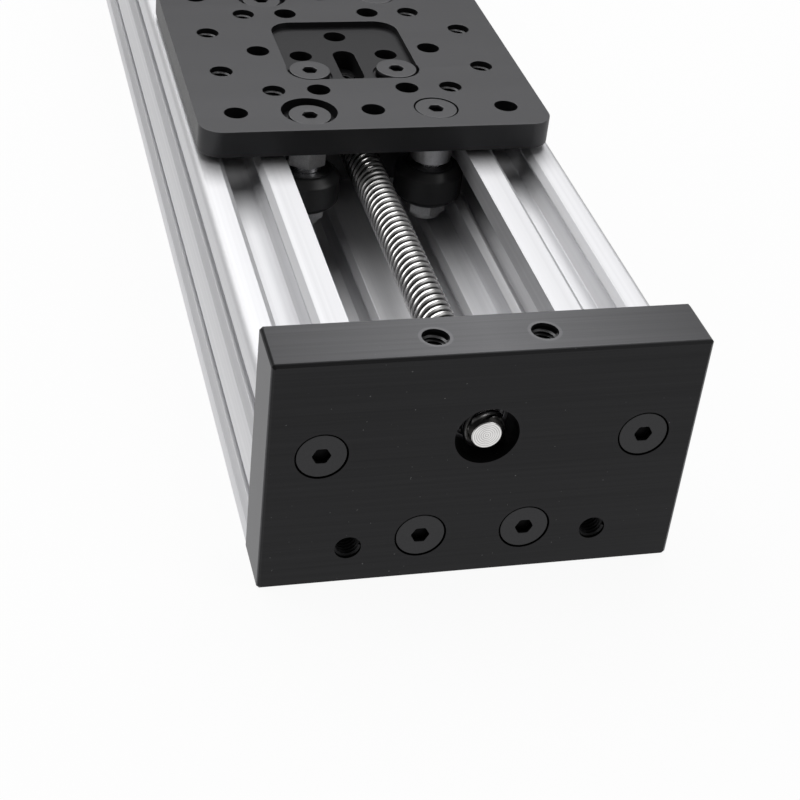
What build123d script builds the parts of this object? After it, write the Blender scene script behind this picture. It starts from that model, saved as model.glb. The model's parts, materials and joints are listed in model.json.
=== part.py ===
from build123d import *
from math import radians, sqrt, tan
import os

# A lead screw linear actuator. A C-shaped V-slot beam lies along Y with an end plate on each end.
# A lead screw turns in two ball bearings in the plates. It drives a nut block under a carriage
# plate, and the carriage runs on four V wheels inside the channel of the beam.
# Z = 0 is the underside of the beam, and X = 0 is the plane of the screw.
os.makedirs("parts", exist_ok=True)

# Beam: square cells in a row of four, with one more cell on top at each side
cell = 20.0
beam_length = 500.0
slot_mouth = 9.16
slot_bevel = 1.2
slot_chamber = 11.0
slot_depth = 6.1
slot_lip = 1.8
web = 1.5
core_bore = 4.2
outer_corner_r = 1.5
inner_corner_r = 0.6
tapped_depth = 22.0

# End plates
plate_height = 50.0
plate_thickness = 12.0
plate_edge_break = 0.6
nose_bore = 12.0
motor_hole_spacing = 47.14
motor_hole = 5.0
top_hole_depth = 10.0
drill_point_angle = 118.0

# Metric 5 fasteners
thread_d = 5.0
thread_gap = 0.03
clearance_hole = 5.4
head_d = 9.2
head_height = 2.0
head_recess = 0.1
head_ring_gap = 0.3
socket_across = 3.0
socket_depth = 1.3
plate_screw_length = 30.0
nut_across = 8.0
nut_height = 4.0
screw_tip_overhang = 0.3

# Lead screw, its bearings and its collars
screw_d = 8.0
screw_height = 32.0
screw_end_recess = 0.3
screw_chamfer = 1.3
drive_stub = 20.0
bearing_d = 16.0
bearing_width = 5.0
bearing_inner_od = 10.2
seat_gap = 0.02
running_gap = 0.1
thrust_shim_d = 11.0
thrust_shim_thickness = 1.0
collar_d = 13.0
collar_width = 7.0
set_screw_d = 4.0
set_screw_length = 2.2
set_screw_socket = 2.0

# Wheels and what they turn on
wheel_d = 15.2
wheel_width = 8.8
wheel_crown = 5.2
wheel_rail_gap = 0.28
wheel_base = 60.0
wheel_bearing_d = 10.0
wheel_bearing_width = 4.0
wheel_inner_od = 6.4
wheel_shim_thickness = 1.0
spacer_height = 6.0
round_spacer_d = 9.0
hex_spacer_across = 8.0
hex_spacer_turn = 25.0
eccentric_offset = 0.79
eccentric_nose_d = 7.1
eccentric_nose_height = 2.4

# Carriage plate, whose centre stands this far from the outer face of the idle plate
carriage_station = 126.5
carriage_size = 77.5
carriage_thickness = 6.0
carriage_corner_r = 5.0
hole_grid = 10.0
carriage_hole = 5.1
pocket_size = 30.0
pocket_corner_r = 5.0
pocket_depth = 1.5
nut_counterbore_d = 10.4
eccentric_counterbore_d = 12.2
eccentric_head_recess = 0.5
window_length = 15.2
window_width = 5.0
window_offset = -5.3

# Anti-backlash nut block
block_width = 34.0
block_height = 19.0
block_front = -16.0
block_back = 3.0
block_break = 1.0
slit_front = -3.5
slit_width = 1.5
hinge_thickness = 2.5
adjuster_length = 4.0

half_cell = cell / 2
beam_width = 4 * cell
beam_height = 2 * cell
overall_length = beam_length + 2 * plate_thickness + drive_stub
idle_face_y = -overall_length / 2
beam_start_y = idle_face_y + plate_thickness
beam_end_y = beam_start_y + beam_length
drive_face_y = beam_end_y + plate_thickness
carriage_y = idle_face_y + carriage_station

thread_hole = thread_d + 2 * thread_gap
drill_point_height = thread_d / 2 / tan(radians(drill_point_angle / 2))
ring_hole = head_d + 2 * head_ring_gap
plate_screw_points = [(side * half_cell, half_cell) for side in (-1, 1)]
plate_screw_points += [(side * cell * 1.5, cell * 1.5) for side in (-1, 1)]
motor_hole_reach = motor_hole_spacing / 2
motor_hole_points = [(side * motor_hole_reach, screw_height - motor_hole_reach) for side in (-1, 1)]

# Heights of the wheel stack, from the plane of the side slots in the channel
wheel_z = beam_height - half_cell
stack_half = wheel_bearing_width + wheel_shim_thickness / 2
stack_top = wheel_z + stack_half
stack_bottom = wheel_z - stack_half
spacer_bottom = stack_top + wheel_shim_thickness
carriage_bottom = spacer_bottom + spacer_height
carriage_top = carriage_bottom + carriage_thickness

# The wheel's bevels run beside the bevels of the slot mouth with the rail gap between them
wheel_x = cell + slot_mouth / 2 - wheel_d / 2 - wheel_crown / 2 - wheel_rail_gap
wheel_holes = {
    "front_left": (-wheel_x, carriage_y - wheel_base / 2),
    "front_right": (wheel_x, carriage_y - wheel_base / 2),
    "rear_left": (-wheel_x, carriage_y + wheel_base / 2),
    "rear_right": (wheel_x, carriage_y + wheel_base / 2),
}
left_holes = [wheel_holes["front_left"], wheel_holes["rear_left"]]
right_axles = [wheel_holes["front_right"], wheel_holes["rear_right"]]
left_axles = [(x, y - eccentric_offset) for x, y in left_holes]
axles = left_axles + right_axles
wheel_axles = dict(zip(("front_left", "rear_left", "front_right", "rear_right"), axles))
block_screw_points = [(-hole_grid, carriage_y - hole_grid), (hole_grid, carriage_y - hole_grid)]


def station(y):
    # A section across the beam, drawn in X and Z. A negative extrusion runs towards +Y.
    return Plane(origin=(0, y, 0), x_dir=(1, 0, 0), z_dir=(0, -1, 0))


def save(piece, label):
    piece.part.label = label
    export_step(piece.part, "parts/" + label + ".step")


def ring_along_screw(start_y, length, outer_d, inner_d):
    with BuildPart() as ring:
        with BuildSketch(station(start_y)):
            with Locations((0, screw_height)):
                Circle(outer_d / 2)
                Circle(inner_d / 2, mode=Mode.SUBTRACT)
        extrude(amount=-length)
    return ring


def rings_on_axles(points, level, height, outer_d, inner_d):
    with BuildPart() as rings:
        with BuildSketch(Plane.XY.offset(level)):
            with Locations(*points):
                Circle(outer_d / 2)
                Circle(inner_d / 2, mode=Mode.SUBTRACT)
        extrude(amount=height)
    return rings


# One V slot, seen with its mouth on the X axis and its depth along +Y
web_reach = half_cell - web / sqrt(2)
throat_half = slot_mouth / 2 - slot_bevel
chamber_half = slot_chamber / 2
with BuildSketch() as v_slot:
    with BuildLine():
        Polyline(
            (0, -1),
            (slot_mouth / 2, -1),
            (slot_mouth / 2, 0),
            (throat_half, slot_bevel),
            (throat_half, slot_lip),
            (chamber_half, slot_lip),
            (chamber_half, web_reach - chamber_half),
            (web_reach - slot_depth, slot_depth),
            (0, slot_depth),
        )
        mirror(about=Plane.YZ)
    make_face()

# The closed hollow between two neighbouring cells, bounded by their diagonal webs
wall_reach = half_cell - slot_lip
with BuildSketch() as hollow:
    with BuildLine():
        Polyline(
            (0, wall_reach),
            (web_reach - wall_reach, wall_reach),
            (slot_depth, web_reach - slot_depth),
            (slot_depth, slot_depth - web_reach),
            (web_reach - wall_reach, -wall_reach),
            (0, -wall_reach),
        )
        mirror(about=Plane.YZ)
    make_face()

slot_places = []
for side in (-1, 1):
    slot_places += [((side * half_cell, 0), 0), ((side * cell * 1.5, 0), 0)]
    slot_places += [((side * half_cell, cell), 180), ((side * cell * 1.5, beam_height), 180)]
    slot_places += [((side * beam_width / 2, half_cell), side * 90)]
    slot_places += [((side * beam_width / 2, cell * 1.5), side * 90)]
    slot_places += [((side * cell, cell * 1.5), -side * 90)]
hollow_places = [((0, half_cell), 0)]
for side in (-1, 1):
    hollow_places += [((side * cell, half_cell), 0), ((side * cell * 1.5, cell), 90)]
core_points = [(x * cell, half_cell) for x in (-1.5, -0.5, 0.5, 1.5)]
core_points += [(-cell * 1.5, cell * 1.5), (cell * 1.5, cell * 1.5)]

with BuildPart() as beam:
    with BuildSketch(station(beam_start_y)) as section:
        with Locations((0, half_cell)):
            Rectangle(beam_width, cell)
        with Locations((-cell * 1.5, cell * 1.5), (cell * 1.5, cell * 1.5)):
            Rectangle(cell, cell)
        corners = section.vertices()
        fillet(corners.filter_by(lambda v: abs(v.X) > cell * 1.5), outer_corner_r)
        channel_lips = corners.filter_by(lambda v: abs(v.X) < cell * 1.5 and v.Y > cell * 1.5)
        fillet(channel_lips, inner_corner_r)
        for place, turn in slot_places:
            with Locations(Location((place[0], place[1], 0), (0, 0, turn))):
                add(v_slot.sketch, mode=Mode.SUBTRACT)
        for place, turn in hollow_places:
            with Locations(Location((place[0], place[1], 0), (0, 0, turn))):
                add(hollow.sketch, mode=Mode.SUBTRACT)
        with Locations(*core_points):
            Circle(core_bore / 2, mode=Mode.SUBTRACT)
    extrude(amount=-beam_length)
    for end_y, run in ((beam_start_y, -tapped_depth), (beam_end_y, tapped_depth)):
        with BuildSketch(station(end_y)):
            with Locations(*plate_screw_points):
                Circle(thread_hole / 2)
        extrude(amount=run, mode=Mode.SUBTRACT)
save(beam, "beam")


# The point that the drill leaves hangs below the straight part of the hole
drill_point_align = (Align.CENTER, Align.CENTER, Align.MAX)


def end_plate(outer_y, inward):
    # The outer face takes the screw heads, and the inner face the bearing. inward is 1 or -1 along Y.
    inner_y = outer_y + inward * plate_thickness
    middle_y = outer_y + inward * plate_thickness / 2
    with BuildPart() as plate:
        with BuildSketch(station(outer_y)):
            with Locations((0, plate_height / 2)):
                Rectangle(beam_width, plate_height)
        extrude(amount=-inward * plate_thickness)
        chamfer(plate.edges().filter_by(Axis.Y), plate_edge_break)
        outer_face = plate.faces().filter_by(Axis.Y).sort_by(Axis.Y)[0 if inward > 0 else -1]
        chamfer(outer_face.edges(), plate_edge_break)
        with BuildSketch(station(outer_y)):
            with Locations((0, screw_height)):
                Circle(nose_bore / 2)
            with Locations(*plate_screw_points):
                Circle(clearance_hole / 2)
            with Locations(*motor_hole_points):
                Circle(motor_hole / 2)
        extrude(amount=-inward * plate_thickness, mode=Mode.SUBTRACT)
        with BuildSketch(station(outer_y)):
            with Locations(*plate_screw_points):
                Circle(ring_hole / 2)
        extrude(amount=-inward * (head_height + head_recess), mode=Mode.SUBTRACT)
        with BuildSketch(station(inner_y)):
            with Locations((0, screw_height)):
                Circle(bearing_d / 2 + seat_gap)
        extrude(amount=inward * bearing_width, mode=Mode.SUBTRACT)
        with BuildSketch(Plane.XY.offset(plate_height)):
            with Locations((-half_cell, middle_y), (half_cell, middle_y)):
                Circle(thread_d / 2)
        extrude(amount=-top_hole_depth, mode=Mode.SUBTRACT)
        hole_bottom = plate_height - top_hole_depth
        with Locations((-half_cell, middle_y, hole_bottom), (half_cell, middle_y, hole_bottom)):
            Cone(0, thread_d / 2, drill_point_height, align=drill_point_align, mode=Mode.SUBTRACT)
    return plate


def plate_screws(outer_y, inward):
    seat_y = outer_y + inward * (head_recess + head_height)
    with BuildPart() as screws:
        with BuildSketch(station(seat_y)):
            with Locations(*plate_screw_points):
                Circle(head_d / 2)
        extrude(amount=inward * head_height)
        with BuildSketch(station(seat_y)):
            with Locations(*plate_screw_points):
                Circle(thread_d / 2)
        extrude(amount=-inward * plate_screw_length)
        with BuildSketch(station(outer_y + inward * head_recess)):
            with Locations(*plate_screw_points):
                RegularPolygon(socket_across / 2, 6, major_radius=False)
        extrude(amount=-inward * socket_depth, mode=Mode.SUBTRACT)
    return screws


def lock_collar(start_y):
    middle_y = start_y + collar_width / 2
    with BuildPart() as collar:
        with BuildSketch(station(start_y)):
            with Locations((0, screw_height)):
                Circle(collar_d / 2)
                Circle(screw_d / 2 + seat_gap, mode=Mode.SUBTRACT)
        extrude(amount=-collar_width)
        with BuildSketch(Plane.XY.offset(screw_height)):
            with Locations((0, middle_y)):
                Circle(set_screw_d / 2 + thread_gap)
        extrude(amount=collar_d, mode=Mode.SUBTRACT)
    return collar


shield_bore = bearing_inner_od + 2 * running_gap
screw_seat_bore = screw_d + 2 * seat_gap
ends = {"idle": (idle_face_y, beam_start_y, 1), "drive": (drive_face_y, beam_end_y, -1)}
collar_middles = []
for end, (outer_y, inner_y, inward) in ends.items():
    save(end_plate(outer_y, inward), end + "_end_plate")
    save(plate_screws(outer_y, inward), end + "_plate_screws")

    # The bearing is flush with the plate's inner face. Its outer ring carries the two shields.
    bearing_start = min(inner_y, inner_y - inward * bearing_width)
    outer_ring = ring_along_screw(bearing_start, bearing_width, bearing_d, shield_bore)
    save(outer_ring, end + "_bearing_outer_ring")
    inner_ring = ring_along_screw(bearing_start, bearing_width, bearing_inner_od, screw_seat_bore)
    save(inner_ring, end + "_bearing_inner_ring")

    shim_start = min(inner_y, inner_y + inward * thrust_shim_thickness)
    shim = ring_along_screw(shim_start, thrust_shim_thickness, thrust_shim_d, screw_seat_bore)
    save(shim, end + "_thrust_shim")
    collar_near_y = inner_y + inward * thrust_shim_thickness
    collar_start = min(collar_near_y, collar_near_y + inward * collar_width)
    collar_middles.append(collar_start + collar_width / 2)
    save(lock_collar(collar_start), end + "_lock_collar")

set_screw_bottom = screw_height + screw_d / 2 + seat_gap
with BuildPart() as collar_set_screws:
    with BuildSketch(Plane.XY.offset(set_screw_bottom)):
        with Locations(*[(0, y) for y in collar_middles]):
            Circle(set_screw_d / 2)
    extrude(amount=set_screw_length)
    with BuildSketch(Plane.XY.offset(set_screw_bottom + set_screw_length)):
        with Locations(*[(0, y) for y in collar_middles]):
            RegularPolygon(set_screw_socket / 2, 6, major_radius=False)
    extrude(amount=-set_screw_length / 2, mode=Mode.SUBTRACT)
save(collar_set_screws, "collar_set_screws")

screw_start_y = idle_face_y + screw_end_recess
screw_end_y = drive_face_y + drive_stub
with BuildPart() as lead_screw:
    with BuildSketch(station(screw_start_y)):
        with Locations((0, screw_height)):
            Circle(screw_d / 2)
    extrude(amount=screw_start_y - screw_end_y)
    chamfer(lead_screw.edges().filter_by(GeomType.CIRCLE), screw_chamfer)
save(lead_screw, "lead_screw")

# Carriage plate: a 10 mm grid of plain and tapped holes about a pocket with a window in it
grid = hole_grid
plain_holes = [(x, y) for x in (-3 * grid, 0, 3 * grid) for y in (-3 * grid, 3 * grid)]
plain_holes += [(x, y) for x in (-grid, grid) for y in (-2 * grid, 2 * grid)]
plain_holes += [(-2 * grid, 0), (2 * grid, 0)]
pocket_holes = [(-grid, 0), (grid, 0), (0, grid)]
tapped_holes = [(x, y) for x in (-3 * grid, 3 * grid) for y in (-grid, grid)]
tapped_holes += [(x, y) for x in (-2 * grid, 2 * grid) for y in (-2 * grid, 2 * grid)]


def on_carriage(points):
    return [(x, carriage_y + y) for x, y in points]


block_head_depth = head_recess + head_height
eccentric_floor = eccentric_head_recess + head_height
with BuildPart() as carriage_plate:
    with BuildSketch(Plane.XY.offset(carriage_bottom)):
        with Locations((0, carriage_y)):
            RectangleRounded(carriage_size, carriage_size, carriage_corner_r)
    extrude(amount=carriage_thickness)
    with BuildSketch(Plane.XY.offset(carriage_top)):
        with Locations(*on_carriage(plain_holes)):
            Circle(carriage_hole / 2)
        with Locations(*on_carriage(tapped_holes)):
            Circle(thread_d / 2)
    extrude(amount=-carriage_thickness, mode=Mode.SUBTRACT)
    with BuildSketch(Plane.XY.offset(carriage_top)):
        with Locations((0, carriage_y)):
            RectangleRounded(pocket_size, pocket_size, pocket_corner_r)
    extrude(amount=-pocket_depth, mode=Mode.SUBTRACT)
    with BuildSketch(Plane.XY.offset(carriage_top)):
        with Locations((0, carriage_y + window_offset)):
            SlotOverall(window_length, window_width, rotation=90)
        with Locations(*on_carriage(pocket_holes)):
            Circle(carriage_hole / 2)
        with Locations(*right_axles, *block_screw_points):
            Circle(clearance_hole / 2)
        with Locations(*left_holes):
            Circle(eccentric_nose_d / 2 + thread_gap)
    extrude(amount=-carriage_thickness, mode=Mode.SUBTRACT)
    with BuildSketch(Plane.XY.offset(carriage_top)):
        with Locations(*block_screw_points):
            Circle(nut_counterbore_d / 2)
        with Locations(*right_axles):
            Circle(ring_hole / 2)
    extrude(amount=-block_head_depth, mode=Mode.SUBTRACT)
    with BuildSketch(Plane.XY.offset(carriage_top)):
        with Locations(*left_holes):
            Circle(eccentric_counterbore_d / 2)
    extrude(amount=-eccentric_floor, mode=Mode.SUBTRACT)
save(carriage_plate, "carriage_plate")


def cap_screws(points, head_top, tip):
    seat = head_top - head_height
    with BuildPart() as screws:
        with BuildSketch(Plane.XY.offset(seat)):
            with Locations(*points):
                Circle(head_d / 2)
        extrude(amount=head_height)
        with BuildSketch(Plane.XY.offset(seat)):
            with Locations(*points):
                Circle(thread_d / 2)
        extrude(amount=tip - seat)
        with BuildSketch(Plane.XY.offset(head_top)):
            with Locations(*points):
                RegularPolygon(socket_across / 2, 6, major_radius=False)
        extrude(amount=-socket_depth, mode=Mode.SUBTRACT)
    return screws


def lock_nuts(points, top):
    with BuildPart() as nuts:
        with BuildSketch(Plane.XY.offset(top)):
            with Locations(*points):
                RegularPolygon(nut_across / 2, 6, major_radius=False)
                Circle(thread_hole / 2, mode=Mode.SUBTRACT)
        extrude(amount=-nut_height)
    return nuts


wheel_screw_tip = stack_bottom - nut_height - screw_tip_overhang
fixed_screw_top = carriage_top - head_recess
eccentric_screw_top = carriage_top - eccentric_head_recess
save(cap_screws(right_axles, fixed_screw_top, wheel_screw_tip), "fixed_wheel_screws")
save(cap_screws(left_axles, eccentric_screw_top, wheel_screw_tip), "eccentric_wheel_screws")
save(lock_nuts(axles, stack_bottom), "wheel_lock_nuts")

round_spacers = rings_on_axles(right_axles, spacer_bottom, spacer_height, round_spacer_d, thread_hole)
save(round_spacers, "round_spacers")
with BuildPart() as eccentric_spacers:
    with BuildSketch(Plane.XY.offset(spacer_bottom)):
        with Locations(*left_holes):
            RegularPolygon(hex_spacer_across / 2, 6, major_radius=False, rotation=hex_spacer_turn)
    extrude(amount=spacer_height)
    with BuildSketch(Plane.XY.offset(carriage_bottom)):
        with Locations(*left_holes):
            Circle(eccentric_nose_d / 2)
    extrude(amount=eccentric_nose_height)
    with BuildSketch(Plane.XY.offset(spacer_bottom)):
        with Locations(*left_axles):
            Circle(thread_hole / 2)
    extrude(amount=spacer_height + eccentric_nose_height, mode=Mode.SUBTRACT)
save(eccentric_spacers, "eccentric_spacers")

# On each axle the inner rings of two bearings are clamped with a shim between them and one above.
# They stand as one sleeve from the nut to the spacer, and so do the outer rings with their seals.
sleeve_height = spacer_bottom - stack_bottom
inner_rings = rings_on_axles(axles, stack_bottom, sleeve_height, wheel_inner_od, thread_hole)
save(inner_rings, "wheel_bearing_inner_rings")

bevel = (wheel_width - wheel_crown) / 2
seal_bore = wheel_inner_od + 2 * running_gap
wheel_bottom = wheel_z - wheel_width / 2
for corner, axle in wheel_axles.items():
    with BuildPart() as wheel:
        with BuildSketch(station(axle[1])):
            with BuildLine():
                Polyline(
                    (axle[0] + wheel_bearing_d / 2 + seat_gap, wheel_z),
                    (axle[0] + wheel_bearing_d / 2 + seat_gap, wheel_z + wheel_width / 2),
                    (axle[0] + wheel_d / 2 - bevel, wheel_z + wheel_width / 2),
                    (axle[0] + wheel_d / 2, wheel_z + wheel_crown / 2),
                    (axle[0] + wheel_d / 2, wheel_z),
                )
                mirror(about=Plane.XZ.offset(-wheel_z))
            make_face()
        revolve(axis=Axis((axle[0], axle[1], 0), (0, 0, 1)))
    save(wheel, "wheel_" + corner)
    outer_rings = rings_on_axles([axle], wheel_bottom, wheel_width, wheel_bearing_d, seal_bore)
    save(outer_rings, "wheel_bearing_outer_rings_" + corner)

# Nut block: the screw runs through it, and a slit lets the adjuster spread the two halves
block_bottom = carriage_bottom - block_height
block_length = block_back - block_front
pocket_height = nut_height + screw_tip_overhang
block_nut_top = block_bottom + pocket_height
slit_middle = slit_front + slit_width / 2
with BuildPart() as nut_block:
    with BuildSketch(Plane.XY.offset(block_bottom)):
        with Locations((0, carriage_y + (block_front + block_back) / 2)):
            Rectangle(block_width, block_length)
    extrude(amount=block_height)
    chamfer(nut_block.edges().filter_by(Axis.Z), block_break)
    with BuildSketch(station(carriage_y + block_front)):
        with Locations((0, screw_height)):
            Circle(screw_d / 2 + running_gap)
    extrude(amount=-block_length, mode=Mode.SUBTRACT)
    with BuildSketch(Plane.XY.offset(carriage_bottom)):
        with Locations((0, carriage_y + slit_middle)):
            Rectangle(block_width, slit_width)
    extrude(amount=hinge_thickness - block_height, mode=Mode.SUBTRACT)
    with BuildSketch(Plane.XY.offset(carriage_bottom)):
        with Locations(*block_screw_points):
            Circle(clearance_hole / 2)
    extrude(amount=-block_height, mode=Mode.SUBTRACT)
    with BuildSketch(Plane.XY.offset(block_bottom)):
        with Locations(*block_screw_points):
            RegularPolygon(nut_across / 2 + running_gap, 6, major_radius=False)
    extrude(amount=pocket_height, mode=Mode.SUBTRACT)
    with BuildSketch(Plane.XY.offset(carriage_bottom)):
        with Locations((0, carriage_y + slit_middle)):
            Circle(thread_hole / 2)
    extrude(amount=-adjuster_length, mode=Mode.SUBTRACT)
save(nut_block, "nut_block")

with BuildPart() as backlash_adjuster:
    with BuildSketch(Plane.XY.offset(carriage_bottom - running_gap)):
        with Locations((0, carriage_y + slit_middle)):
            Circle(thread_d / 2)
    extrude(amount=running_gap - adjuster_length)
    with BuildSketch(Plane.XY.offset(carriage_bottom - running_gap)):
        with Locations((0, carriage_y + slit_middle)):
            RegularPolygon(socket_across / 2, 6, major_radius=False)
    extrude(amount=-adjuster_length / 2, mode=Mode.SUBTRACT)
save(backlash_adjuster, "backlash_adjuster")

block_screw_tip = block_bottom + screw_tip_overhang
save(cap_screws(block_screw_points, carriage_top - head_recess, block_screw_tip), "nut_block_screws")
save(lock_nuts(block_screw_points, block_nut_top), "nut_block_lock_nuts")
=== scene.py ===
import bpy
import bmesh
import json
from math import cos, degrees, pi, radians, tau
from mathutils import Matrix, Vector


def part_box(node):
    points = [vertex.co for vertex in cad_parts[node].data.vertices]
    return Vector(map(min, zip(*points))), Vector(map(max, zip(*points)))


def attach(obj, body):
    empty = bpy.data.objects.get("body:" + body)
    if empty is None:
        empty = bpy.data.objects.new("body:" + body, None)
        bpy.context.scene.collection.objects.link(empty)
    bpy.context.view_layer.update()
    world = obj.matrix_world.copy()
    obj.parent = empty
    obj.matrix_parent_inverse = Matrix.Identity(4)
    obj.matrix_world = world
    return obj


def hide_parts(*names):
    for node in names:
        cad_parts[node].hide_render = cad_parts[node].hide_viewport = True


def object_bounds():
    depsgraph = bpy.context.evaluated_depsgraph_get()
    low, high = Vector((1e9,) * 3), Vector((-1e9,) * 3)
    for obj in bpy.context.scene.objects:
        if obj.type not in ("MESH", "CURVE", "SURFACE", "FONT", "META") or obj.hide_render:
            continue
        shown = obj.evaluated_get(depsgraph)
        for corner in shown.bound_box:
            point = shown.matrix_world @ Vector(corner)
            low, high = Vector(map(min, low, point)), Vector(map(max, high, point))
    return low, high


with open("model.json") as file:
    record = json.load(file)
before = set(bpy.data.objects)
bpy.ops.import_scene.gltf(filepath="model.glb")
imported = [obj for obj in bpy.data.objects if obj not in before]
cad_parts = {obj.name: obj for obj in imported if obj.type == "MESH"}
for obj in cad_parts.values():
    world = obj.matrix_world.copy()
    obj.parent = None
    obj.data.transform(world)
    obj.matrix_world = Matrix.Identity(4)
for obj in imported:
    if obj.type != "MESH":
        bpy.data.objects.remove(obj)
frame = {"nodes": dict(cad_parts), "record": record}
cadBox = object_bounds()
nodes = frame["nodes"]
mm = 0.001
weld = 0.001 * mm  # vertices closer than this are one


# selecting and finishing

def deselectAll():
    if bpy.context.mode != "OBJECT":
        bpy.ops.object.mode_set(mode="OBJECT")
    bpy.ops.object.select_all(action="DESELECT")


def pick(piece):
    deselectAll()
    piece.select_set(True)
    bpy.context.view_layer.objects.active = piece


def applyAll(piece):
    pick(piece)
    for modifier in list(piece.modifiers):
        bpy.ops.object.modifier_apply(modifier=modifier.name)


def settle(piece, name):
    # the place, turn and size go into the mesh, so the object itself sits at the origin
    pick(piece)
    bpy.ops.object.transform_apply(location=True, rotation=True, scale=True)
    piece.name = name
    piece.data.name = name
    return piece


def outward(piece):
    pick(piece)
    bpy.ops.object.mode_set(mode="EDIT")
    bpy.ops.mesh.select_all(action="SELECT")
    bpy.ops.mesh.remove_doubles(threshold=weld)
    bpy.ops.mesh.normals_make_consistent(inside=False)
    bpy.ops.object.mode_set(mode="OBJECT")


def smooth(piece, angle=30):
    pick(piece)
    bpy.ops.object.shade_smooth_by_angle(angle=radians(angle))


def joinPieces(pieces, name):
    deselectAll()
    for piece in pieces:
        piece.select_set(True)
    bpy.context.view_layer.objects.active = pieces[0]
    if len(pieces) > 1:
        bpy.ops.object.join()
    pieces[0].name = name
    pieces[0].data.name = name
    return pieces[0]


bodyOf = {node: body for body, group in frame["record"]["behaviour"]["bodies"].items() for node in group}


def dress(piece, material, like, standsIn=True):
    # the piece rides and is coloured like one CAD node, and takes its place if standsIn is true
    piece.data.materials.clear()
    piece.data.materials.append(material)
    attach(piece, bodyOf[like])
    if standsIn:
        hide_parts(like)
        nodes[like].data.materials.clear()
        nodes[like].data.materials.append(material)


# materials

class Wire:
    # a shader socket that takes + - * / ** with numbers and other wires
    def __init__(self, finish, socket):
        self.finish = finish
        self.socket = socket

    def maths(self, operation, left, right):
        return self.finish.node("ShaderNodeMath", {"operation": operation}, {0: left, 1: right})

    def __add__(self, other):
        return self.maths("ADD", self, other)

    def __radd__(self, other):
        return self.maths("ADD", other, self)

    def __sub__(self, other):
        return self.maths("SUBTRACT", self, other)

    def __rsub__(self, other):
        return self.maths("SUBTRACT", other, self)

    def __mul__(self, other):
        return self.maths("MULTIPLY", self, other)

    def __rmul__(self, other):
        return self.maths("MULTIPLY", other, self)

    def __truediv__(self, other):
        return self.maths("DIVIDE", self, other)

    def __pow__(self, other):
        return self.maths("POWER", self, other)


class Finish:
    # one material, its nodes and its surface
    def __init__(self, name, **surface):
        self.material = bpy.data.materials.new(name)
        self.material.use_nodes = True
        self.tree = self.material.node_tree
        self.shader = self.tree.nodes["Principled BSDF"]
        self.output = self.tree.nodes["Material Output"]
        for socket, value in surface.items():
            self.feed(self.shader.inputs[socket.replace("_", " ")], value)

    def feed(self, socket, value):
        if isinstance(value, Wire):
            self.tree.links.new(value.socket, socket)
        elif isinstance(value, tuple) and socket.type == "RGBA":
            socket.default_value = (*value, 1.0)
        else:
            socket.default_value = value

    def node(self, kind, settings=None, inputs=None, output=0):
        made = self.tree.nodes.new(kind)
        for key, value in (settings or {}).items():
            if key == "stops":
                ramp = made.color_ramp
                while len(ramp.elements) < len(value):
                    ramp.elements.new(0.5)
                for element, (place, level) in zip(ramp.elements, value):
                    element.position = place
                    element.color = (level, level, level, 1)
            else:
                setattr(made, key, value)
        for key, value in (inputs or {}).items():
            self.feed(made.inputs[key], value)
        return Wire(self, made.outputs[output])

    def place(self, scale=(1, 1, 1)):
        # object coordinates, stretched along the axes whose scale is small
        spot = self.node("ShaderNodeTexCoord", output="Object")
        return self.node("ShaderNodeMapping", {}, {"Vector": spot, "Scale": scale})

    def axes(self):
        # X, Y and Z of the object coordinates as three wires
        spot = self.node("ShaderNodeTexCoord", output="Object")
        split = self.node("ShaderNodeSeparateXYZ", {}, {"Vector": spot})
        return [Wire(self, split.socket.node.outputs[name]) for name in "XYZ"]

    def noise(self, vector, scale, detail=3.0, rough=0.6):
        return self.node("ShaderNodeTexNoise", {}, {"Vector": vector, "Scale": scale, "Detail": detail,
                                                    "Roughness": rough})

    def ramp(self, value, *stops):
        return self.node("ShaderNodeValToRGB", {"stops": stops}, {"Fac": value})

    def mix(self, factor, first, second):
        return self.node("ShaderNodeMix", {"data_type": "RGBA"}, {"Factor": factor, 6: first, 7: second}, 2)

    def bump(self, height, strength, distance):
        return self.node("ShaderNodeBump", {}, {"Height": height, "Strength": strength,
                                                "Distance": distance})

    def set(self, **surface):
        for socket, value in surface.items():
            self.feed(self.shader.inputs[socket.replace("_", " ")], value)
        return self.material


def clearAnodised():
    # die lines run the length of the beam, with a soft change of tone between them
    look = {"light": (0.80, 0.80, 0.815), "dark": (0.70, 0.70, 0.715), "rough": 0.54, "spread": 0.08,
            "grainRough": 0.05, "dieLines": (900, 2.0, 900), "broad": (110, 1.2, 110), "grain": 5200}
    made = Finish("clearAnodised", Metallic=1.0)
    lines = made.noise(made.place(look["dieLines"]), 1.0, 4.0, 0.55)
    broad = made.noise(made.place(look["broad"]), 1.0, 3.0, 0.5)
    grain = made.noise(made.place(), look["grain"], 2.0)
    tone = made.ramp(lines * 0.45 + broad * 0.55, (0.36, 0.0), (0.66, 1.0))
    return made.set(
        Base_Color=made.mix(tone, look["dark"], look["light"]),
        Roughness=look["rough"] + look["spread"] * (1.0 - tone) + look["grainRough"] * grain,
        Normal=made.bump(lines * 0.7 + grain * 0.3, 0.10, 0.02 * mm),
    )


def grey(level, blue):
    return (level, level, level * blue)


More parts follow.
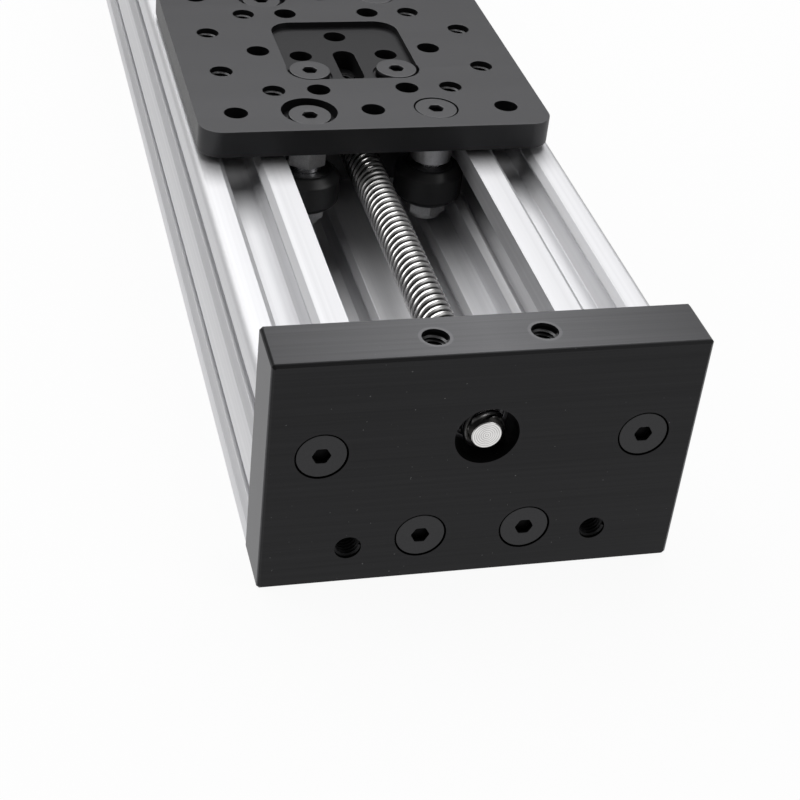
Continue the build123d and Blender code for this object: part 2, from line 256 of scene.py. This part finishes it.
def blackAnodised(name, plate):
    # milled aluminium under a black layer: streaks along X and a few bright specks. Painted light makes the
    # plate's top face and the sides of an end plate greyer than the rest, and painted shade darkens the
    # carriage below its top face.
    look = {"rough": 0.40, "streakRough": 0.08, "grainRough": 0.06, "blue": 1.04, "sideX": 39.7 * mm,
            "step": 0.3 * mm, "streaks": (14, 1500, 1500), "broad": (1.2, 125, 125), "grain": 6500,
            "flecks": 1400, "fleckTone": (0.35, 0.35, 0.35)}
    made = Finish(name, Metallic=1.0)
    streaks = made.noise(made.place(look["streaks"]), 1.0, 3.0, 0.7)
    broad = made.noise(made.place(look["broad"]), 1.0, 2.0, 0.5)
    grain = made.noise(made.place(), look["grain"], 2.0)
    tone = made.ramp(streaks * 0.5 + broad * 0.2 + grain * 0.3, (0.38, 0.0), (0.66, 1.0))
    dark = grey(plate["base"] * (1 - plate["contrast"]), look["blue"])
    light = grey(plate["base"] * (1 + plate["contrast"]), look["blue"])
    colour = made.mix(tone, dark, light)
    x, y, z = made.axes()
    fromMiddle = x.maths("ABSOLUTE", x, 0.0)
    # masks for the painted light: the top face, lit less the further it lies from the middle, and the sides
    # of an end plate
    top = made.ramp((z - plate["topZ"] + look["step"]) / look["step"] - 0.3, (0.0, 0.0), (0.6, 1.0))
    side = made.ramp((fromMiddle - look["sideX"]) / look["step"], (0.0, 0.0), (1.0, 1.0))
    # painted light and shade: this factor scales the colour up on the lit places and, on the carriage, down
    # below the top face
    paintedLightGain = plate["rest"] + top * (plate["top"] - plate["fall"] * fromMiddle) + side * plate["side"]
    # painted highlight on the mouths of the two top holes
    if plate["mouth"]:
        paintedLightGain = paintedLightGain + paintedMouthHighlight(made, fromMiddle, y, z) * plate["mouth"]
    colour = made.node("ShaderNodeVectorMath", {"operation": "SCALE"}, {0: colour, "Scale": paintedLightGain})
    flecks = made.ramp(made.noise(made.place(), look["flecks"], 1.0), (0.77, 0.0), (0.81, 1.0))
    colour = made.mix(flecks * plate["flecks"], colour, look["fleckTone"])
    return made.set(
        Base_Color=colour,
        Roughness=look["rough"] + look["streakRough"] * tone + look["grainRough"] * grain,
        Normal=made.bump(streaks * plate["contrast"] + grain * 0.3, 0.14, 0.02 * mm),
    )


def paintedMouthHighlight(made, fromMiddle, y, z):
    # painted highlight on the countersunk mouths of the two tapped holes in the top of each end plate
    look = {"holeX": 10 * mm, "plateY": 256 * mm, "middleY": -10 * mm, "outerR": 3.15 * mm,
            "from": 49.3 * mm, "soft": 0.1 * mm}
    acrossX = fromMiddle - look["holeX"]
    alongY = y - look["middleY"]
    acrossY = alongY.maths("ABSOLUTE", alongY, 0.0) - look["plateY"]
    reach = (acrossX * acrossX + acrossY * acrossY) ** 0.5
    near = made.ramp((look["outerR"] - reach) / look["soft"], (0.0, 0.0), (1.0, 1.0))
    return near * made.ramp((z - look["from"]) / look["soft"], (0.0, 0.0), (1.0, 1.0))


def brightSteel():
    # rolled thread: bright crests, and painted shade that darkens the roots
    look = {"root": 2.95 * mm, "crest": 4.0 * mm, "axisZ": 32 * mm, "dark": (0.030, 0.029, 0.028),
            "light": (0.84, 0.83, 0.82), "rough": 0.27, "spread": 0.10, "grain": 2400, "stain": 420}
    endFaceLook = {"radius": 2.85 * mm, "edge": 0.05 * mm, "ringPitch": 0.4 * mm, "tone": 0.84,
                   "ringTone": 0.10}
    made = Finish("brightSteel", Metallic=1.0)
    x, y, z = made.axes()
    z = z - look["axisZ"]
    reach = (x * x + z * z) ** 0.5
    height = (reach - look["root"]) / (look["crest"] - look["root"])
    # the turned end face lies inside the root and is as bright as the crests
    face = (endFaceLook["radius"] - reach) / endFaceLook["edge"]
    perRing = tau / endFaceLook["ringPitch"]
    rings = made.node("ShaderNodeMath", {"operation": "SINE"}, {0: reach * perRing})
    faceTone = endFaceLook["tone"] + endFaceLook["ringTone"] * rings
    height = height.maths("MAXIMUM", height, face.maths("MINIMUM", face, faceTone))
    grain = made.noise(made.place(), look["grain"], 2.0, 0.5)
    stain = made.noise(made.place(), look["stain"], 3.0, 0.6)
    # painted shade: the deeper below the crest, the darker, so the roots are dark; the stain noise varies
    # the tone at random
    tone = made.ramp(height * 0.86 + stain * 0.14, (0.48, 0.0), (0.88, 1.0))
    return made.set(
        Base_Color=made.mix(tone, look["dark"], look["light"]),
        Roughness=look["rough"] + look["spread"] * (1.0 - tone),
        Normal=made.bump(grain, 0.03, 0.01 * mm),
    )


def plainMetal(name, dark, light, rough):
    # small turned and plated pieces: a fine grain with a soft change of tone
    look = {"grain": 2200, "broad": 2200 / 9, "spread": 0.10}
    made = Finish(name, Metallic=1.0)
    grain = made.noise(made.place(), look["grain"], 3.0, 0.6)
    broad = made.noise(made.place(), look["broad"], 2.0, 0.5)
    tone = made.ramp(grain * 0.5 + broad * 0.5, (0.36, 0.0), (0.64, 1.0))
    return made.set(
        Base_Color=made.mix(tone, dark, light),
        Roughness=rough + look["spread"] * (1.0 - tone),
        Normal=made.bump(grain, 0.10, 0.01 * mm),
    )


def blackScrew(name, axis, face, inward, base):
    # painted shade below the face of the head: in the socket, and in the gap round the head
    look = {"grain": 2200, "darker": (0.82, 0.82, 0.85), "lighter": (1.18, 1.18, 1.22), "rough": 0.40,
            "spread": 0.10, "shadeFrom": 0.3, "shadeTo": 0.9, "shade": 0.12}
    made = Finish(name, Metallic=1.0)
    grain = made.noise(made.place(), look["grain"], 3.0, 0.6)
    along = made.axes()["XYZ".index(axis)]
    depth = (along - face) * (inward / (1.0 * mm))
    shade = made.ramp(depth, (look["shadeFrom"], 1.0), (look["shadeTo"], look["shade"]))
    darker = tuple(base * level for level in look["darker"])
    lighter = tuple(base * level for level in look["lighter"])
    colour = made.mix(grain, darker, lighter)
    colour = made.node("ShaderNodeVectorMath", {"operation": "SCALE"}, {0: colour, "Scale": shade})
    return made.set(
        Base_Color=colour,
        Roughness=look["rough"] + look["spread"] * grain,
        Normal=made.bump(grain, 0.10, 0.01 * mm),
    )


def blackAcetal():
    look = {"dark": (0.010, 0.010, 0.011), "light": (0.020, 0.020, 0.021), "rough": 0.30, "spread": 0.12,
            "grain": 2800, "broad": 260}
    made = Finish("blackAcetal", Specular_IOR_Level=0.5)
    grain = made.noise(made.place(), look["grain"], 2.0)
    broad = made.noise(made.place(), look["broad"], 2.0)
    return made.set(
        Base_Color=made.mix(broad, look["dark"], look["light"]),
        Roughness=look["rough"] + look["spread"] * grain,
        Normal=made.bump(grain, 0.12, 0.02 * mm),
    )


def nylon():
    look = {"dark": (0.60, 0.61, 0.62), "light": (0.72, 0.73, 0.74), "rough": 0.42, "spread": 0.1,
            "grain": 1800}
    made = Finish("nylon", Subsurface_Weight=0.1)
    grain = made.noise(made.place(), look["grain"], 2.0)
    return made.set(
        Base_Color=made.mix(grain, look["dark"], look["light"]),
        Roughness=look["rough"] + look["spread"] * grain,
    )


# "top", "side" and "mouth" are painted light, added to "rest" on the top face, the sides of an end plate
# and the mouths of its top holes, and
# "fall" is taken off the top for each metre from the middle; on the carriage, the low "rest" is painted
# shade on every face below the top
endPlateLook = {"base": 0.0262, "contrast": 0.18, "topZ": 50 * mm, "rest": 1.0, "top": 4.2, "fall": 58.0,
                "side": 3.9, "mouth": 1.4, "flecks": 0.25}
carriageLook = {"base": 0.100, "contrast": 0.05, "topZ": 47.5 * mm, "rest": 0.5, "top": 0.5, "fall": 0.0,
                "side": 0.0, "mouth": 0.0, "flecks": 0.06}
beamMetal = clearAnodised()
endPlateMetal = blackAnodised("endPlateMetal", endPlateLook)
carriageMetal = blackAnodised("carriageMetal", carriageLook)
ridgeMetal = plainMetal("ridgeMetal", (0.07, 0.07, 0.072), (0.12, 0.12, 0.123), 0.34)
screwSteel = brightSteel()
blackThread = plainMetal("blackThread", (0.020, 0.020, 0.021), (0.034, 0.034, 0.035), 0.45)
blackSteel = plainMetal("blackSteel", (0.052, 0.052, 0.054), (0.070, 0.070, 0.073), 0.42)
ringSteel = plainMetal("ringSteel", (0.50, 0.50, 0.51), (0.66, 0.66, 0.67), 0.22)
sealSteel = plainMetal("sealSteel", (0.16, 0.16, 0.17), (0.26, 0.26, 0.27), 0.36)
zincPlate = plainMetal("zincPlate", (0.50, 0.50, 0.50), (0.68, 0.68, 0.68), 0.38)
turnedMetal = plainMetal("turnedMetal", (0.60, 0.60, 0.61), (0.76, 0.76, 0.77), 0.30)
wheelPlastic = blackAcetal()
insertNylon = nylon()
print("materials made")


# copies of the machined pieces with their sharp edges broken

def mergedCopy(nodeName, name):
    flat = 0.4  # degrees between faces that are taken as one
    made = bpy.data.objects.new(name, nodes[nodeName].data.copy())
    made.data.name = name
    bpy.context.scene.collection.objects.link(made)
    pick(made)
    bpy.ops.object.mode_set(mode="EDIT")
    bpy.ops.mesh.select_all(action="SELECT")
    bpy.ops.mesh.remove_doubles(threshold=weld)
    bpy.ops.mesh.dissolve_limited(angle_limit=radians(flat))
    bpy.ops.object.mode_set(mode="OBJECT")
    if made.data.has_custom_normals:
        bpy.ops.mesh.customdata_custom_splitnormals_clear()
    return made


def breakEdges(piece, width, wanted=None):
    # the bevel follows edge weights, so wanted may give one edge more or none
    look = {"sharper": 28, "segments": 2}
    mesh = bmesh.new()
    mesh.from_mesh(piece.data)
    weights = mesh.edges.layers.float.new("bevel_weight_edge")
    for edge in mesh.edges:
        if len(edge.link_faces) == 2 and degrees(edge.calc_face_angle(0)) > look["sharper"]:
            edge[weights] = wanted(edge) if wanted else 1.0
    mesh.to_mesh(piece.data)
    mesh.free()
    bevel = piece.modifiers.new("edge break", "BEVEL")
    bevel.width = width
    bevel.segments = look["segments"]
    bevel.limit_method = "WEIGHT"
    bevel.use_clamp_overlap = True
    bevel.miter_outer = "MITER_ARC"
    applyAll(piece)
    smooth(piece)
    # the large flat faces keep their own direction, so the narrow bevels carry the whole turn
    weighted = piece.modifiers.new("flat faces", "WEIGHTED_NORMAL")
    weighted.keep_sharp = True
    weighted.weight = 100
    applyAll(piece)


def longEdge(edge):
    # only the edges that run the length of the beam are rounded by the die
    long = 100 * mm
    return 1.0 if abs(edge.verts[0].co.y - edge.verts[1].co.y) > long else 0.0


def plateEdge(edge):
    # the mouths of the two tapped holes in the plate's top are broken wider than its other edges
    look = {"holeX": 10 * mm, "near": 3 * mm, "mouth": 1.0, "other": 0.24}
    first, second = (vertex.co for vertex in edge.verts)
    onTop = max(first.z, second.z) > cadBox[1].z - 0.01 * mm
    atHole = abs(abs((first.x + second.x) / 2) - look["holeX"]) < look["near"]
    alongX = abs((first - second).normalized().x) > 0.9999
    return look["mouth"] if onTop and atHole and not alongX else look["other"]


# "width" is the bevel in millimetres. "head" gives the way a screw's head faces: the axis, the end of
# the node's box, and which way is into the piece.
machined = {
    "beam": {"material": beamMetal, "width": 0.12, "wanted": longEdge},
    "idle_end_plate": {"material": endPlateMetal, "width": 0.55, "wanted": plateEdge},
    "drive_end_plate": {"material": endPlateMetal, "width": 0.55, "wanted": plateEdge},
    "carriage_plate": {"material": carriageMetal, "width": 0.18},
    # the same black screw steel takes a darker tone on heads that face the front and a lighter one on heads
    # that face up: painted shade and painted light
    "idle_plate_screws": {"head": ("Y", 0, 1), "tone": 0.044, "width": 0.2},
    "drive_plate_screws": {"head": ("Y", 1, -1), "tone": 0.044, "width": 0.2},
    "fixed_wheel_screws": {"head": ("Z", 1, -1), "tone": 0.110, "width": 0.2},
    "eccentric_wheel_screws": {"head": ("Z", 1, -1), "tone": 0.110, "width": 0.2},
    "nut_block_screws": {"head": ("Z", 1, -1), "tone": 0.110, "width": 0.2},
    "round_spacers": {"material": turnedMetal, "width": 0.2},
    "eccentric_spacers": {"material": zincPlate, "width": 0.2},
    "idle_lock_collar": {"material": turnedMetal, "width": 0.3},
    "drive_lock_collar": {"material": turnedMetal, "width": 0.3},
    "collar_set_screws": {"material": blackSteel, "width": 0.1},
    "idle_thrust_shim": {"material": ringSteel, "width": 0.1},
    "drive_thrust_shim": {"material": ringSteel, "width": 0.1},
    "idle_bearing_inner_ring": {"material": ringSteel, "width": 0.15},
    "drive_bearing_inner_ring": {"material": ringSteel, "width": 0.15},
    "idle_bearing_outer_ring": {"material": sealSteel, "width": 0.2},
    "drive_bearing_outer_ring": {"material": sealSteel, "width": 0.2},
    "nut_block": {"material": wheelPlastic, "width": 0.25},
    "backlash_adjuster": {"material": blackSteel, "width": 0.15},
    "wheel_bearing_inner_rings": {"material": ringSteel, "width": 0.12},
}
for corner in ("front_left", "rear_left", "front_right", "rear_right"):
    machined["wheel_" + corner] = {"material": wheelPlastic, "width": 0.3}
    machined["wheel_bearing_outer_rings_" + corner] = {"material": sealSteel, "width": 0.15}

for nodeName, how in machined.items():
    material = how.get("material")
    if "head" in how:
        axis, end, inward = how["head"]
        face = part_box(nodeName)[end]["XYZ".index(axis)]
        material = blackScrew(nodeName + "_steel", axis, face, inward, how["tone"])
    made = mergedCopy(nodeName, nodeName + "_finished")
    breakEdges(made, how["width"] * mm, how.get("wanted"))
    dress(made, material, nodeName)
print("machined pieces finished")


# the lead screw's thread

def extrudePath(points):
    # a line of vertices, drawn by extruding one vertex from point to point
    deselectAll()
    bpy.ops.mesh.primitive_plane_add(size=1 * mm, location=points[0])
    made = bpy.context.object
    bpy.ops.object.transform_apply(location=True, rotation=True, scale=True)
    bpy.ops.object.mode_set(mode="EDIT")
    bpy.ops.mesh.select_mode(type="VERT")
    bpy.ops.mesh.select_all(action="SELECT")
    bpy.ops.mesh.merge(type="CENTER")
    for here, there in zip(points, points[1:]):
        bpy.ops.mesh.extrude_region_move(TRANSFORM_OT_translate={"value": Vector(there) - Vector(here)})
    bpy.ops.object.mode_set(mode="OBJECT")
    return made


def leadScrewThread():
    look = {"crest": 4.0, "root": 2.95, "lead": 8.0, "starts": 4, "roundness": 2.2, "chamfer": 1.3,
            "steps": 40, "weld": 0.002}
    low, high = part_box("lead_screw")
    axisZ = (low.z + high.z) / 2
    # the helix starts and ends past the screw and is cut to its length
    startY = low.y - look["lead"] * mm * 1.5
    turns = int((high.y - low.y) / (look["lead"] * mm)) + 3
    pitch = look["lead"] / look["starts"]
    # from one root over the rounded crest to the next
    across = (-1.0, -0.82, -0.54, -0.18, 0.18, 0.54, 0.82)
    profile = []
    for start in range(look["starts"]):
        for place in across:
            radius = look["crest"] - (look["crest"] - look["root"]) * abs(place) ** look["roundness"]
            profile.append((radius, (start + place / 2) * pitch))
    profile.append((look["root"], (look["starts"] - 0.5) * pitch))
    made = extrudePath([(r * mm, startY + y * mm, 0) for r, y in profile])
    sweep = made.modifiers.new("helix", "SCREW")
    sweep.axis = "Y"
    sweep.angle = tau
    sweep.screw_offset = look["lead"] * mm
    sweep.iterations = turns
    sweep.steps = look["steps"]
    sweep.render_steps = look["steps"]
    sweep.use_merge_vertices = True
    sweep.merge_threshold = look["weld"] * mm
    applyAll(made)
    outward(made)
    # cut at both ends, closed there, and turned down to the chamfer
    pick(made)
    bpy.ops.object.mode_set(mode="EDIT")
    for y, direction in ((low.y, -1), (high.y, 1)):
        bpy.ops.mesh.select_all(action="SELECT")
        bpy.ops.mesh.bisect(plane_co=(0, y, 0), plane_no=(0, direction, 0), clear_outer=True,
                            use_fill=True, threshold=weld)
    bpy.ops.object.mode_set(mode="OBJECT")
    endR = (look["crest"] - look["chamfer"]) * mm
    for vertex in made.data.vertices:
        # inside is how far the vertex lies from the nearer end
        inside = min(vertex.co.y - low.y, high.y - vertex.co.y)
        reach = (vertex.co.x ** 2 + vertex.co.z ** 2) ** 0.5
        if reach > endR + inside:
            vertex.co.x *= (endR + inside) / reach
            vertex.co.z *= (endR + inside) / reach
    made.location = (0, 0, axisZ)
    settle(made, "lead_screw_thread")
    outward(made)
    smooth(made, 40)
    return made


threadedScrew = leadScrewThread()
dress(threadedScrew, screwSteel, "lead_screw")
print("lead screw threaded", len(threadedScrew.data.polygons))


# threads in the tapped holes

def tappedThread(name, middle, length, alongY):
    # a helical ridge that stands in from the wall of the hole
    look = {"wall": 2.52, "tip": 2.12, "pitch": 0.8, "base": 0.64, "flat": 0.12, "steps": 28}
    turns = max(1, int(length / look["pitch"]) - 1)
    low = -turns * look["pitch"] / 2
    deselectAll()
    bpy.ops.mesh.primitive_plane_add(size=1, rotation=(radians(90), 0, 0),
                                     location=((look["wall"] + look["tip"]) / 2 * mm, 0, low * mm))
    made = bpy.context.object
    made.scale = ((look["wall"] - look["tip"]) * mm, look["base"] * mm, 1)
    settle(made, name)
    # the ridge narrows from its base at the wall to its flat at the tip
    bpy.ops.object.mode_set(mode="EDIT")
    bpy.ops.mesh.select_mode(type="VERT")
    bpy.ops.mesh.select_all(action="DESELECT")
    mesh = bmesh.from_edit_mesh(made.data)
    for vertex in mesh.verts:
        vertex.select_set(vertex.co.x < (look["wall"] + look["tip"]) / 2 * mm)
    bmesh.update_edit_mesh(made.data)
    bpy.ops.transform.resize(value=(1, 1, look["flat"] / look["base"]),
                             center_override=(0, 0, low * mm))
    bpy.ops.mesh.select_all(action="SELECT")
    bpy.ops.mesh.delete(type="ONLY_FACE")
    bpy.ops.object.mode_set(mode="OBJECT")
    sweep = made.modifiers.new("helix", "SCREW")
    sweep.axis = "Z"
    sweep.screw_offset = look["pitch"] * mm
    sweep.iterations = turns
    sweep.steps = look["steps"]
    sweep.render_steps = look["steps"]
    applyAll(made)
    pick(made)
    bpy.ops.object.mode_set(mode="EDIT")
    bpy.ops.mesh.select_all(action="DESELECT")
    bpy.ops.mesh.select_non_manifold()
    bpy.ops.mesh.edge_face_add()
    bpy.ops.object.mode_set(mode="OBJECT")
    made.location = middle
    if alongY:
        made.rotation_euler = (radians(90), 0, 0)
    settle(made, name)
    outward(made)
    smooth(made, 25)
    return made


def threadSet(name, middles, length, material, like, alongY=False):
    made = [tappedThread(name, middle, length, alongY) for middle in middles]
    dress(joinPieces(made, name), material, like, standsIn=False)


# places in millimetres from the middle of the carriage, and from the origin on the end plates
tapped = {
    "topX": (-10, 10), "topMouth": 0.3, "topDepth": 9.4,
    "motorX": (-23.57, 23.57), "motorZ": 8.43, "motorMouths": 0.6,
    "carriageWide": (30, 10), "carriageSquare": (20, 20), "carriageDepth": 5.6,
}
for end in ("idle", "drive"):
    low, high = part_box(end + "_end_plate")
    middle = (low + high) / 2
    topZ = high.z - (tapped["topMouth"] + tapped["topDepth"] / 2) * mm
    topHoles = [(x * mm, middle.y, topZ) for x in tapped["topX"]]
    threadSet(end + "_top_threads", topHoles, tapped["topDepth"], ridgeMetal, end + "_end_plate")
    motorHoles = [(x * mm, middle.y, tapped["motorZ"] * mm) for x in tapped["motorX"]]
    motorDepth = (high.y - low.y) / mm - tapped["motorMouths"]
    threadSet(end + "_motor_threads", motorHoles, motorDepth, blackThread, end + "_end_plate", alongY=True)
low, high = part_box("carriage_plate")
middle = (low + high) / 2
carriageHoles = [(x, y) for alongX, alongY in (tapped["carriageWide"], tapped["carriageSquare"])
                 for x in (-alongX, alongX) for y in (-alongY, alongY)]
threadSet("carriage_threads", [(x * mm, middle.y + y * mm, middle.z) for x, y in carriageHoles],
          tapped["carriageDepth"], ridgeMetal, "carriage_plate")
print("tapped holes threaded")


# lock nuts with their nylon collars

def endFace(piece, top):
    # selects the flat face at the top or the bottom, in edit mode
    flat = 0.005 * mm
    bpy.ops.mesh.select_mode(type="FACE")
    bpy.ops.mesh.select_all(action="DESELECT")
    mesh = bmesh.from_edit_mesh(piece.data)
    heights = [vertex.co.z for vertex in mesh.verts]
    wanted = max(heights) if top else min(heights)
    for face in mesh.faces:
        if all(abs(vertex.co.z - wanted) < flat for vertex in face.verts):
            face.select_set(True)
    bmesh.update_edit_mesh(piece.data)


def extrude(z, fromR=1.0, toR=1.0):
    # the selected face moves out by z and changes its radius
    bpy.ops.mesh.extrude_region_move(TRANSFORM_OT_translate={"value": (0, 0, z * mm)})
    bpy.ops.transform.resize(value=(toR / fromR, toR / fromR, 1), center_override=(0, 0, 0))


def inset(width):
    bpy.ops.mesh.inset(thickness=width * mm, depth=0)


def disc(sides, radius, height, z):
    # a cylinder whose middle is at z, left in edit mode
    deselectAll()
    bpy.ops.mesh.primitive_cylinder_add(vertices=sides, radius=radius * mm, depth=height * mm,
                                        location=(0, 0, z * mm))
    made = bpy.context.object
    bpy.ops.object.transform_apply(location=True, rotation=True, scale=True)
    bpy.ops.object.mode_set(mode="EDIT")
    return made


def lockNut(height):
    # the top of the nut is at z 0, with the hexagon above and the round collar below
    look = {"across": 8.0, "faceR": 3.8, "cone": 0.4, "collarH": 1.0, "collarR": 3.6, "edge": 0.15,
            "lipR": 3.15, "nylonDepth": 0.8, "bore": 2.53, "lead": 0.25, "sides": 48, "spare": 1.0,
            "spareR": 0.01}
    shoulder = height - look["collarH"]
    cornerR = look["across"] / 2 / cos(pi / 6)
    hexagon = disc(6, cornerR, shoulder + look["spare"], -shoulder / 2)
    turned = disc(look["sides"], cornerR + look["spareR"], shoulder - 2 * look["cone"], -shoulder / 2)
    endFace(turned, True)
    extrude(look["cone"], cornerR, look["faceR"])
    endFace(turned, False)
    extrude(-look["cone"], cornerR, look["faceR"])
    # only what lies in both the hexagon and the turned disc stays
    pick(hexagon)
    cut = hexagon.modifiers.new("turned corners", "BOOLEAN")
    cut.operation = "INTERSECT"
    cut.solver = "EXACT"
    cut.object = turned
    applyAll(hexagon)
    bpy.data.objects.remove(turned)
    outward(hexagon)
    pick(hexagon)
    bpy.ops.object.mode_set(mode="EDIT")
    # the collar below, hollow for its nylon ring
    endFace(hexagon, False)
    inset(look["faceR"] - look["collarR"])
    extrude(-(look["collarH"] - look["edge"]))
    extrude(-look["edge"], look["collarR"], look["collarR"] - look["edge"])
    inset(look["collarR"] - look["edge"] - look["lipR"])
    extrude(look["nylonDepth"])
    inset(look["lipR"] - look["bore"])
    bpy.ops.mesh.delete(type="ONLY_FACE")
    # the lead-in above, and the bore between the two
    endFace(hexagon, True)
    inset(look["faceR"] - look["bore"] - look["lead"])
    extrude(-look["lead"], look["bore"] + look["lead"], look["bore"])
    bpy.ops.mesh.delete(type="ONLY_FACE")
    bpy.ops.mesh.select_mode(type="EDGE")
    bpy.ops.mesh.select_all(action="DESELECT")
    bpy.ops.mesh.select_non_manifold()
    bpy.ops.mesh.bridge_edge_loops()
    bpy.ops.object.mode_set(mode="OBJECT")
    outward(hexagon)
    return hexagon


def nylonRing(height):
    look = {"outerR": 3.14, "bore": 2.52, "depth": 0.62, "drop": 0.12, "edge": 0.1, "sides": 32,
            "edgeSteps": 2, "sharper": 40}
    ring = disc(look["sides"], look["outerR"], look["depth"], look["drop"] + look["depth"] / 2 - height)
    for top in (True, False):
        endFace(ring, top)
        inset(look["outerR"] - look["bore"])
        bpy.ops.mesh.delete(type="ONLY_FACE")
    bpy.ops.mesh.select_mode(type="EDGE")
    bpy.ops.mesh.select_non_manifold()
    bpy.ops.mesh.bridge_edge_loops()
    bpy.ops.object.mode_set(mode="OBJECT")
    edge = ring.modifiers.new("round edges", "BEVEL")
    edge.width = look["edge"] * mm
    edge.segments = look["edgeSteps"]
    edge.angle_limit = radians(look["sharper"])
    applyAll(ring)
    outward(ring)
    return ring


def copiesAt(first, name, places, top):
    # one copy with its own mesh for each place
    made = []
    for x, y in places:
        copied = bpy.data.objects.new(name, first.data.copy())
        bpy.context.scene.collection.objects.link(copied)
        copied.location = (x, y, top)
        made.append(settle(copied, name))
    bpy.data.objects.remove(first)
    joined = joinPieces(made, name)
    smooth(joined, 25)
    return joined


def nutPlaces(nodeName):
    # the middle of each loose solid of the node, and the node's top and height
    pick(mergedCopy(nodeName, nodeName + "_places"))
    bpy.ops.object.mode_set(mode="EDIT")
    bpy.ops.mesh.separate(type="LOOSE")
    bpy.ops.object.mode_set(mode="OBJECT")
    places = []
    for loose in list(bpy.context.selected_objects):
        across = [vertex.co.x for vertex in loose.data.vertices]
        along = [vertex.co.y for vertex in loose.data.vertices]
        places.append(((min(across) + max(across)) / 2, (min(along) + max(along)) / 2))
        bpy.data.objects.remove(loose)
    low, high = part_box(nodeName)
    return sorted(places), high.z, (high.z - low.z) / mm


for nodeName in ("wheel_lock_nuts", "nut_block_lock_nuts"):
    places, top, height = nutPlaces(nodeName)
    nuts = copiesAt(lockNut(height), nodeName + "_finished", places, top)
    dress(nuts, zincPlate, nodeName)
    collars = copiesAt(nylonRing(height), nodeName + "_nylon", places, top)
    dress(collars, insertNylon, nodeName, standsIn=False)
print("lock nuts made")


# floor, light and camera

def studio():
    look = {"size": 12, "gap": 0.02 * mm, "floor": (0.80, 0.80, 0.80), "rough": 0.9, "white": 1.0,
            "shadow": 0.06, "sky": 0.17}
    bpy.ops.mesh.primitive_plane_add(size=look["size"], location=(0, 0, cadBox[0].z - look["gap"]))
    floor = bpy.context.object
    floor.name = "floor"
    made = Finish("floor", Base_Color=look["floor"], Roughness=look["rough"])
    # the floor is white to the camera and in reflections, and keeps a part of the shadow
    path = made.tree.nodes.new("ShaderNodeLightPath")
    seen = Wire(made, path.outputs["Is Camera Ray"])
    for ray in ("Is Glossy Ray", "Is Transmission Ray"):
        seen = seen.maths("MAXIMUM", seen, Wire(made, path.outputs[ray]))
    glow = made.node("ShaderNodeEmission", {}, {"Color": (1.0, 1.0, 1.0), "Strength": look["white"]})
    blend = made.node("ShaderNodeMixShader", {}, {0: seen * (1.0 - look["shadow"]),
                                                  1: Wire(made, made.shader.outputs[0]), 2: glow})
    made.feed(made.output.inputs["Surface"], blend)
    floor.data.materials.append(made.material)

    world = bpy.data.worlds.new("studio")
    bpy.context.scene.world = world
    world.use_nodes = True
    tree = world.node_tree
    sky = tree.nodes["Background"]
    sky.inputs["Color"].default_value = (1, 1, 1, 1)
    sky.inputs["Strength"].default_value = look["sky"]

    lamps = {
        "backSoftbox": {"at": (0.1, 0.5, 1.4), "towards": (0, -0.15, 0), "size": 1.6, "power": 20},
        "leftSoftbox": {"at": (-0.95, 0.1, 0.9), "towards": (0, -0.1, 0), "size": 0.8, "power": 5},
        "rightFill": {"at": (0.9, -0.8, 0.9), "towards": (0, -0.15, 0), "size": 0.8, "power": 3},
    }
    for name, lamp in lamps.items():
        light = bpy.data.lights.new(name, "AREA")
        light.shape = "SQUARE"
        light.size = lamp["size"]
        light.energy = lamp["power"]
        holder = bpy.data.objects.new(name, light)
        holder.location = lamp["at"]
        aim = Vector(lamp["towards"]) - Vector(lamp["at"])
        holder.rotation_euler = aim.to_track_quat("-Z", "Y").to_euler()
        bpy.context.scene.collection.objects.link(holder)


def camera():
    # worked out from the end plate's corners and screws and the carriage's hole grid in the photograph
    view = {"at": (-93.4, -510.79, 221.07), "turn": (55.435, -4.752, -12.526), "lens": 80.33,
            "sensor": 36, "shiftX": 0.0566, "shiftY": -0.0537, "nearest": 0.01}
    lens = bpy.data.cameras.new("camera")
    lens.lens = view["lens"]
    lens.sensor_width = view["sensor"]
    lens.shift_x = view["shiftX"]
    lens.shift_y = view["shiftY"]
    lens.clip_start = view["nearest"]
    holder = bpy.data.objects.new("camera", lens)
    holder.location = [v * mm for v in view["at"]]
    holder.rotation_euler = [radians(v) for v in view["turn"]]
    bpy.context.scene.collection.objects.link(holder)
    bpy.context.scene.camera = holder


studio()
camera()
bpy.context.scene.view_settings.view_transform = "Standard"
print("studio ready")
